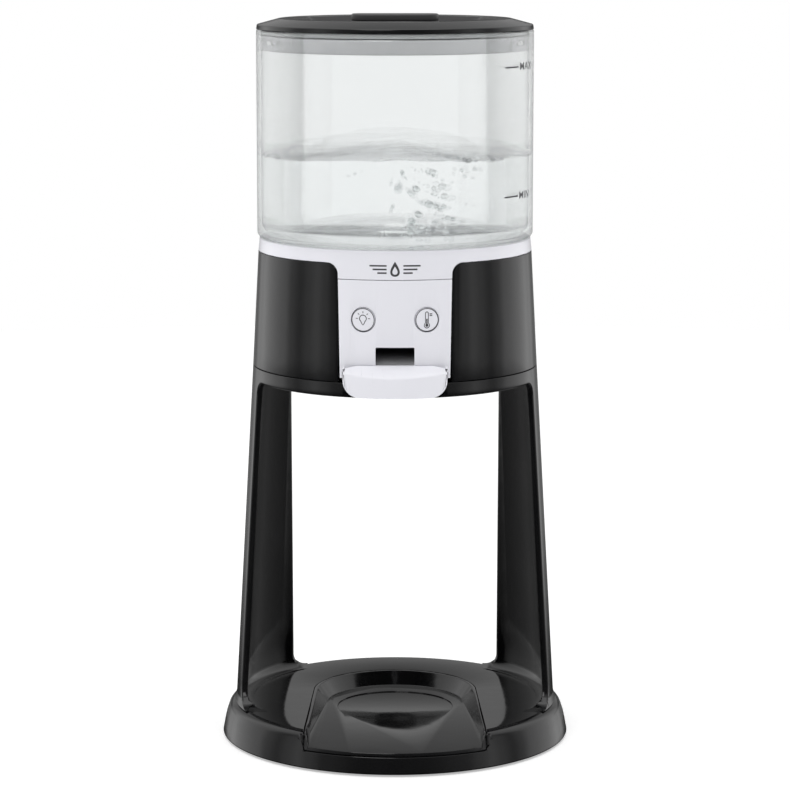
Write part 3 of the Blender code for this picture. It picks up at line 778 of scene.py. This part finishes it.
def buildWindow(s):
    low = lowEnd("window_cup")
    high = highEnd("window_cup")
    cup = boxTool(low.x, high.x, low.y, high.y, low.z, high.z)
    cup.name = "windowCup"
    floor = s["windowLow"] - 0.1
    hollow = [(-75, floor), (-66.8, floor), (-59.5, 213.5), (-59.2, 216.2), (-75, 216.2)]
    carve(cup, sidePrism(hollow, -9.9, 9.9))
    roundEdges(cup, 0.2, 2)
    dress(cup, "dark_plastic", "housing", "window_cup", material=windowMaterial())


buildShell(bodySettings)
buildCollar(bodySettings)
buildPanel(bodySettings)
buildWindow(bodySettings)
for side, name, node in ((-1, "lightButton", "light_button"), (1, "temperatureButton", "temperature_button")):
    buildButton(side, name, node, buttonSettings)
print("body made")


# the press lever

leverSettings = {
    "half": 26.2, "tip": 82.0, "bow": 52.5, "lowCorner": 8.0, "backRadius": 74.3, "backY": -71.9,
    "topBack": 207.3, "topTip": 201.7, "rearLow": 203.2,
}


def buildLever(s):
    half = s["half"]
    low = lowEnd("lever").z
    back = s["backRadius"]
    slope = (s["topTip"] - s["topBack"]) / (s["tip"] - back)
    section = [
        (60, low - 2), (90, low - 2), (90, s["topBack"] + slope * (90 - back)), (back, s["topBack"]),
        (back, s["rearLow"]), (60, s["rearLow"]),
    ]
    lever = turnPiece("pressLever", section, 360)
    bow = []
    for step in range(49):
        angle = math.radians(-120 + 60 * step / 48)
        bow.append((s["bow"] * math.cos(angle), s["bow"] - s["tip"] + s["bow"] * math.sin(angle)))
    bow = [point for point in bow if abs(point[0]) < half + 4]
    bow += [(half + 4, s["backY"]), (-half - 4, s["backY"])]
    carve(lever, planPrism(bow, low - 10, 215), 'INTERSECT')
    side = [(half, 215)] + quarter(half - s["lowCorner"], low + s["lowCorner"], s["lowCorner"], 0, -90, 14)
    carve(lever, frontPrism(mirrorOutline(side), -130), 'INTERSECT')
    # the arm, the pivot tube, and behind it the pad and the finger that meet the spring and the bar
    carve(lever, boxTool(-14, 14, -73, -45, 199.3, 202.6), 'UNION')
    pivot = Vector((-19.8, -45, 203))
    across = Vector((1, 0, 0))
    carve(lever, roundTool(pivot, across, 4.0, 39.6), 'UNION')
    carve(lever, boxTool(-16, 16, -45, -33, 200.2, 203.4), 'UNION')
    carve(lever, boxTool(-3.6, 3.6, -47, -43, 203, 219.4), 'UNION')
    carve(lever, roundTool(pivot - 10 * across, across, 2.2, 60))
    roundEdges(lever, 0.7, 3, 40)
    dress(lever, "white_gloss", "lever", "lever")


buildLever(leverSettings)
print("lever made")


# the tank with its valve, and the water in it

tankSettings = {"wallInside": 69.2, "seat": 264.8}


def buildTank(s):
    outer = plan["tankRadius"]
    inner = s["wallInside"]
    top = plan["tankTop"]
    seat = s["seat"]
    section = [
        (outer, top, 0.7), (outer, seat + 2.0, 1.6), (outer - 1.3, seat, 0.6), (60.6, seat, 0.5),
        (60.2, 259.3, 0.4), (55.2, 259.3, 0.3), (55.2, 261.3, 0.3), (60.0, 263.0, 3.0), (66.2, 266.8, 4.0),
        (inner, 270.6, 3.5), (inner, top, 0.7),
    ]
    tank = turnPiece("tankWall", softened(section, 6), 256)
    dress(tank, "clear_plastic", "tank", "tank_wall")
    disc = softened([(52, 260.3, 0.3), (52, 259.1, 0.3), (7.8, 259.1, 0.2), (7.8, 260.3, 0.3)], 3)
    disc = turnPiece("tankFloor", disc, 192)
    dress(disc, "stainless", "tank", "tank_floor")
    seal = softened([(54.8, 260.9, 0.7), (54.8, 259.3, 0.3), (52.4, 259.3, 0.3), (52.4, 260.9, 0.7)], 4)
    seal = turnPiece("tankFloorSeal", seal, 192)
    dress(seal, "silicone", "tank", "tank_floor_seal")


def buildValve():
    section = [
        (0, 267.8, 0), (7.0, 267.8, 0.8), (7.0, 264.5, 0.6), (3.2, 264.5, 0.8), (3.2, 259.6, 0.2),
        (2.4, 258.75, 0), (0, 258.75, 0),
    ]
    stem = turnPiece("valveStem", softened(section, 5), 96, openPath=True)
    for step in range(4):  # water slots in the cap's rim
        angle = fullTurn * (step + 0.5) / 4
        direction = Vector((math.cos(angle), math.sin(angle), 0))
        carve(stem, roundTool(direction * 5.4 + Vector((0, 0, 266.2)), direction, 0.7, 4))
    dress(stem, "clear_plastic", "valve", "valve_stem")
    washer = softened([(6.2, 264.2, 0.2), (6.2, 263.7, 0.2), (3.6, 263.7, 0.2), (3.6, 264.2, 0.2)], 3)
    washer = turnPiece("valveWasher", washer, 64)
    dress(washer, "silicone", "valve", "valve_washer")
    bush = softened([(7.3, 261.0, 0.4), (7.3, 258.95, 0.2), (3.7, 258.95, 0.2), (3.7, 261.0, 0.4)], 4)
    bush = turnPiece("valveBush", bush, 96)
    dress(bush, "white_gloss", "tank", "valve_bush")


waterBodySettings = {"level": 308.2, "radius": 69.27}


def ripple(x, y):  # height of the surface, in millimetres
    swell = 0.7 * math.cos(x / 20.0 + 0.5) + 0.35 * math.sin(y / 17.0 - x / 30.0)
    chop = 0.20 * math.sin(x / 4.3 + y / 6.0) + 0.14 * math.sin(y / 3.1 - x / 5.2)
    dx = (x - 33) / 20.0
    dy = (y + 25) / 22.0
    boil = math.exp(-dx * dx - dy * dy) * (0.8 * math.sin(x / 1.9) * math.cos(y / 2.6) + 0.5)
    for u, v, wide in ((-54, -12, 8), (41, -44, 13)):  # rougher patches
        dx = (x - u) / wide
        dy = (y - v) / 20.0
        boil += 1.8 * math.exp(-dx * dx - dy * dy) * math.sin(x / 1.5 + y / 9.0) * math.cos(y / 2.3)
    return swell + chop + boil


def buildWater(s):
    section = [(s["radius"] * step / 60, s["level"]) for step in range(61)]
    bottom = softened([
        (s["radius"], s["level"], 0), (s["radius"], 270.55, 3.5), (66.25, 266.73, 4.0), (60.03, 262.93, 3.0),
        (55.1, 261.2, 0), (54.9, 260.85, 0), (52.2, 260.85, 0), (51.8, 260.2, 0),
    ], 6)
    section += bottom[1:] + [(0, 260.2)]
    body = turnPiece("water", section, 240, openPath=True)
    for vertex in body.data.vertices:
        if abs(vertex.co.z - s["level"] * mm) < 1e-6:
            vertex.co.z += ripple(vertex.co.x / mm, vertex.co.y / mm) * mm
    hole = turnPiece("tool", [(0, 200), (7.4, 200), (7.4, 268.2), (0, 268.2)], 96, openPath=True)
    carve(body, hole)
    dress(body, "clear_plastic", "tank", material=water)


bubbleRules = {"count": 62, "seed": 11, "low": 270, "high": 303}


def buildBubbles(s):
    chance = random.Random(s["seed"])
    made = []
    while len(made) < s["count"]:
        rise = chance.random()
        spread = 9 + 12 * rise
        x = 20 - 6 * rise + chance.gauss(0, 0.6) * spread
        y = -40 + chance.gauss(0, 0.6) * spread
        z = s["low"] + (s["high"] - s["low"]) * rise
        radius = 0.6 + 1.6 * chance.random() ** 2
        centre = Vector((x, y, z))
        touches = any((centre - place).length < radius + size for place, size in made)
        if math.hypot(x, y) > 65 or touches:
            continue
        made.append((centre, radius))
    bpy.ops.object.select_all(action='DESELECT')
    pieces = []
    for place, radius in made:
        bpy.ops.mesh.primitive_ico_sphere_add(subdivisions=3, radius=radius * mm, location=place * mm)
        bubble = bpy.context.object
        bubble.scale = (1.0, 1.0, 0.82 + 0.1 * chance.random())
        pieces.append(bubble)
    for piece in pieces:
        piece.select_set(True)
    bpy.ops.object.join()
    bubbles = bpy.context.object
    bubbles.name = "bubbles"
    bpy.ops.object.transform_apply(location=True, rotation=True, scale=True)
    dress(bubbles, "clear_plastic", "tank", material=bubbleFilm, angle=60)


buildTank(tankSettings)
buildValve()
buildWater(waterBodySettings)
buildBubbles(bubbleRules)
print("tank and water made")


# the lid

lidSettings = {
    "edgeTop": 374.0, "plateau": 60.0, "dishTop": (47, 46, 24), "dishFloor": (34, 29, 14), "dishDepth": 370.6,
    "gripLow": 375.6, "neckLow": 370.9, "slit": ((50, 75), (36.6, 38.4), (355, 366.2)),
    "slot": ((59.4, 64.1), (24, 34), (364.2, 366.2)),
}


def dishRing(half, depth, cut, z):  # an oblong with cut corners
    right = [(half, -depth + cut), (half, depth - cut), (half - cut, depth)]
    ring = right + [(-x, y) for x, y in reversed(right)]
    ring += [(-half + cut, -depth), (half - cut, -depth)]
    return [(x, y, z) for x, y in ring]


def buildLid(s):
    top = plan["lidTop"]
    edge = lowEnd("lid_cover").z
    outer = plan["tankRadius"]
    section = [
        (0, top, 0), (s["plateau"], top, 3.0), (outer - 0.4, s["edgeTop"], 0.7), (outer, 371.6, 0.3),
        (65.4, 371.6, 0.2), (65.4, 372.8, 0.2), (54.5, 373.6, 0.4), (51.0, edge, 0.5), (0, edge, 0),
    ]
    cover = turnPiece("lidCover", softened(section, 6), openPath=True)
    carve(cover, bridged("tool", dishRing(*s["dishFloor"], s["dishDepth"]), dishRing(*s["dishTop"], top + 1)))
    roundEdges(cover, 0.6, 3, 20)
    dress(cover, "black_gloss", "lid", "lid_cover", material=lidPlastic)
    pill = quarter(16.5, 0, 6.0, -90, 90, 20) + quarter(-16.5, 0, 6.0, 90, 270, 20)
    grip = planPrism(pill, s["gripLow"], highEnd("lid_grip").z)
    grip.name = "lidGrip"
    roundEdges(grip, 1.0, 4)
    neck = quarter(13, 0, 3.2, -90, 90, 14) + quarter(-13, 0, 3.2, 90, 270, 14)
    carve(grip, planPrism(neck, s["neckLow"], s["gripLow"] + 0.4), 'UNION')
    dress(grip, "black_gloss", "lid", "lid_grip", material=gripPaintedLight)
    section = [
        (68.3, 361, 0.4), (68.3, 368.6, 0.5), (65.1, 368.6, 0.3), (65.1, 372.4, 0.3), (63.3, 372.4, 0.3),
        (63.3, 367, 0.3), (66.6, 367, 0.5), (66.6, 361, 0.4),
    ]
    skirt = turnPiece("lidSkirt", softened(section, 4))
    # a snap tab on each side, between two slits, with a slot near each slit
    for side in (-1, 1):
        for end in (-1, 1):
            for reach, deep, z in (s["slit"], s["slot"]):
                x = sorted(side * u for u in reach)
                y = sorted(end * v for v in deep)
                carve(skirt, boxTool(*x, *y, *z))
    roundEdges(skirt, 0.2, 2, 50)
    dress(skirt, "silver_plastic", "lid", "lid_skirt")
    ring = softened([(68.8, 371.2, 0.6), (68.8, 369.0, 0.8), (65.5, 369.0, 0.4), (65.5, 371.2, 0.6)], 5)
    dress(turnPiece("lidSeal", ring), "silicone", "lid", "lid_seal")


buildLid(lidSettings)
print("lid made")


# printed marks: level lines and words, the apron's drop, and the button icons

def flatLine(name, length, thickness, depth=0.05):
    piece = prism(name, [(-length / 2, 0, -thickness / 2), (length / 2, 0, -thickness / 2),
                         (length / 2, 0, thickness / 2), (-length / 2, 0, thickness / 2)], (0, -depth, 0))
    bpy.ops.object.mode_set(mode='EDIT')
    for cut in range(1, 16):
        bpy.ops.mesh.select_all(action='SELECT')
        x = length * (cut / 16 - 0.5) * mm
        bpy.ops.mesh.bisect(plane_co=(x, 0, 0), plane_no=(1, 0, 0))
    bpy.ops.object.mode_set(mode='OBJECT')
    return piece


def word(name, text, size, depth=0.05):
    bpy.ops.object.select_all(action='DESELECT')
    bpy.ops.object.text_add(location=(0, 0, 0), rotation=(math.pi / 2, 0, 0))
    letters = bpy.context.object
    letters.name = name
    letters.data.body = text
    letters.data.size = size * mm
    letters.data.space_character = 1.08
    letters.data.offset = 0.03 * mm
    letters.data.extrude = depth * mm / 2
    letters.data.align_x = 'LEFT'
    letters.data.align_y = 'CENTER'
    letters.data.resolution_u = 4
    bpy.ops.object.convert(target='MESH')
    bpy.ops.object.transform_apply(location=True, rotation=True, scale=True)
    return bpy.context.object


def shiftPiece(piece, x=0.0, y=0.0, z=0.0):
    for vertex in piece.data.vertices:
        vertex.co += Vector((x, y, z)) * mm


def joinPieces(pieces, name):
    useOnly(pieces[0])
    for piece in pieces:
        piece.select_set(True)
    bpy.ops.object.join()
    bpy.context.object.name = name
    return bpy.context.object


levelSettings = {
    "radius": 71.55, "startAngle": 50.6, "lineLength": 12.4, "line": 0.75, "size": 5.4, "stretch": 1.4,
    "levels": (("MAX", 353.8), ("MIN", 288.6)),
}


def buildLevelMarks(s):
    for text, height in s["levels"]:
        start = math.radians(s["startAngle"]) * s["radius"]
        line = flatLine("line", s["lineLength"], s["line"])
        shiftPiece(line, x=start + s["lineLength"] / 2)
        letters = word("letters", text, s["size"])
        for vertex in letters.data.vertices:
            vertex.co.x *= s["stretch"]
        shiftPiece(letters, x=start + s["lineLength"] + 1.3)
        mark = joinPieces([line, letters], "level" + text.title())
        wrapRound(mark, s["radius"] * mm)
        shiftPiece(mark, z=height)
        dress(mark, "dark_plastic", "tank", material=ink)


def dropOutline(width, height, steps=24):  # a water drop, point up
    right = []
    for step in range(steps + 1):
        angle = math.pi * step / steps
        half = width / 2 * math.sin(angle) * math.sin(angle / 2) ** 1.4
        right.append((half, height / 2 * math.cos(angle)))
    return right + [(-u, v) for u, v in reversed(right[1:-1])]


def buildApronMark():
    z = 255.4
    outer = dropOutline(6.6, 7.6)
    drop = prism("drop", [(x, 0, z) for x, z in outer], (0, -0.05, 0))
    inner = [(x * 0.55, z * 0.55 - 0.7) for x, z in outer]
    carve(drop, prism("tool", [(x, 1, z) for x, z in inner], (0, -2, 0)))
    pieces = [drop]
    for side in (-1, 1):
        for length, height in ((8.6, 1.6), (7.0, -0.2), (4.6, -2.0)):
            line = flatLine("line", length, 0.75)
            shiftPiece(line, x=side * (4.2 + length / 2), z=height)
            pieces.append(line)
    mark = joinPieces(pieces, "apronMark")
    wrapRound(mark, (coneRadius(z) + 0.02) * mm)
    shiftPiece(mark, z=z)
    for vertex in mark.data.vertices:  # follow the cone
        lean = coneRadius(vertex.co.z / mm) / coneRadius(z)
        vertex.co.x *= lean
        vertex.co.y *= lean
    dress(mark, "dark_plastic", "housing", material=ink)


def offsetPath(path, distance, closed):
    shifted = []
    last = len(path) - 1
    for index, (x, z) in enumerate(path):
        before = Vector(path[index - 1] if closed else path[max(index - 1, 0)])
        after = Vector(path[(index + 1) % len(path)] if closed else path[min(index + 1, last)])
        along = (after - before).normalized()
        shifted.append((x - along.y * distance, z + along.x * distance))
    return shifted


def strokePath(path, thickness, closed=False):  # a thin raised line through points in x and z
    left = offsetPath(path, thickness / 2, closed)
    right = offsetPath(path, -thickness / 2, closed)
    if not closed:
        return prism("stroke", [(x, 0, z) for x, z in left + right[::-1]], (0, -0.05, 0))
    stroke = prism("stroke", [(x, 0, z) for x, z in right], (0, -0.05, 0))
    carve(stroke, prism("tool", [(x, 1, z) for x, z in left], (0, -2, 0)))
    return stroke


def ringStroke(radius, thickness, steps=48):
    rings = []
    for reach in (radius + thickness / 2, radius - thickness / 2):
        angles = [fullTurn * step / steps for step in range(steps)]
        rings.append([(reach * math.cos(angle), reach * math.sin(angle)) for angle in angles])
    disc = prism("ring", [(x, 0, z) for x, z in rings[0]], (0, -0.05, 0))
    carve(disc, prism("tool", [(x, 1, z) for x, z in rings[1]], (0, -2, 0)))
    return disc


def placeIcon(pieces, name, side, body):
    icon = joinPieces(pieces, name)
    middle, inward = buttonLine(side)
    angle = math.atan2(middle.x, -middle.y)
    for vertex in icon.data.vertices:
        x, y, z = vertex.co / mm
        rise = 0.3 - 0.28 * max(0.0, (math.hypot(x, z) - 4.2) / 1.8)  # the button's cap falls at its rim
        reach = -y + rise
        across = Vector((math.cos(angle), math.sin(angle), 0))
        vertex.co = (middle + across * x - inward * reach + Vector((0, 0, z))) * mm
    dress(icon, "dark_plastic", body, material=ink)


def buildIcons():
    bulb = [ringStroke(5.72, 0.38)]
    outline = []
    for step in range(21):
        angle = math.radians(-50 + 280 * step / 20)
        outline.append((1.75 * math.cos(angle), 0.7 + 1.75 * math.sin(angle)))
    outline += [(-0.55, -1.9), (0.0, -2.6), (0.55, -1.9)]
    bulb.append(strokePath(outline, 0.38, closed=True))
    for step in range(5):
        angle = math.radians(step * 45)
        ends = [(reach * math.cos(angle), 0.7 + reach * math.sin(angle)) for reach in (2.7, 3.6)]
        bulb.append(strokePath(ends, 0.34))
    placeIcon(bulb, "bulbIcon", -1, "light_button")

    glass = [ringStroke(5.72, 0.38)]
    tube = quarter(-0.1, 3.3, 0.75, 0, 180, 10)
    tube += quarter(-0.1, -2.7, 1.35, 123, 417, 20)
    glass.append(strokePath(tube, 0.36, closed=True))
    glass.append(strokePath([(-0.1, 0.6), (-0.1, -2.4)], 0.62))
    dot = quarter(-0.1, -2.7, 0.75, 0, 345, 23)
    glass.append(prism("dot", [(x, 0, z) for x, z in dot], (0, -0.05, 0)))
    for height in (3.0, 2.2):
        glass.append(strokePath([(1.3, height), (2.6, height)], 0.45))
    placeIcon(glass, "thermometerIcon", 1, "temperature_button")


buildLevelMarks(levelSettings)
buildApronMark()
buildIcons()
print("printed marks made")


# floor, backdrop and sky

stageSettings = {
    "floor": (0.75, 0.75, 0.75), "glow": 0.45, "radius": 1.6, "overhead": 1.1, "level": 1.0,
    "lowShade": 0.85, "behind": 0.42, "dim": 0.75,
    # brightness of the studio round the object, from the camera's side (0) to straight behind (1)
    "studio": (
        (0.0, 0.08), (0.12, 0.10), (0.26, 0.26), (0.33, 0.60), (0.37, 0.86), (0.42, 0.60), (0.47, 0.34),
        (0.52, 0.55), (0.57, 1.0), (0.66, 1.12), (0.75, 1.15), (0.81, 0.75), (0.88, 0.24), (1.0, 0.20),
    ),
}


def buildStage(s):
    bpy.ops.object.select_all(action='DESELECT')
    bpy.ops.mesh.primitive_circle_add(
        vertices=128, radius=s["radius"], fill_type='NGON', location=(0, 0, -0.0002),
    )
    floor = bpy.context.object
    floor.name = "floor"
    bpy.ops.object.transform_apply(location=True, rotation=True, scale=True)
    material, wire, shader, place = newMaterial("paleFloor")
    grain = wire.noise(place, 300.0, 3.0)
    finishMaterial(wire, shader, (*s["floor"], 1), 0.7 + grain * 0.2)
    shader.inputs["Emission Color"].default_value = (1, 1, 1, 1)
    shader.inputs["Emission Strength"].default_value = s["glow"]
    # gloss doesn't mirror the floor, which would fill the dark parts with light
    path = wire.add('ShaderNodeLightPath', output=3)
    clear = wire.add('ShaderNodeBsdfTransparent')
    solid = Wire(wire.tree, shader.outputs[0])
    surface = wire.add('ShaderNodeMixShader', None, {0: path, 1: solid, 2: clear})
    wire.link(wire.tree.nodes["Material Output"].inputs["Surface"], surface)
    floor.data.materials.append(material)
    world = bpy.data.worlds.new("studio")
    world.use_nodes = True
    bpy.context.scene.world = world
    tree = world.node_tree
    wire = Wire(tree)
    direction = wire.add('ShaderNodeTexCoord')
    x, y, z = wire.parts(direction)
    turn = wire.math('ARCTAN2', wire.math('ABSOLUTE', x), 0 - y) / math.pi
    around = wire.add('ShaderNodeValToRGB', {"stops": s["studio"]}, {"Fac": turn})
    around.socket.node.color_ramp.interpolation = 'EASE'
    raised = z.within(0.55, 0.90)
    behind = z.within(0.07, 0.12) * turn.within(0.6, 0.85) * s["behind"]
    lowered = (0 - z).within(0.175, 0.235)
    light = wire.math('MAXIMUM', around * (1 - raised) + raised * s["overhead"], behind * (1 - raised))
    dim = z.within(-0.03, 0.0) * turn.within(0.75, 0.92) * (1 - z.within(0.06, 0.10)) * s["dim"]
    light = light * (1 - lowered * s["lowShade"]) * (1 - dim)
    path = wire.add('ShaderNodeLightPath')
    through = Wire(tree, path.socket.node.outputs["Is Transmission Ray"])
    seen = wire.math('MAXIMUM', path, through)
    background = tree.nodes["Background"]
    background.inputs["Color"].default_value = (1, 1, 1, 1)
    # plain white where the sky is seen straight on or through clear pieces
    wire.link(background.inputs["Strength"], seen * s["level"] + (1 - seen) * light)


buildStage(stageSettings)
print("stage made")
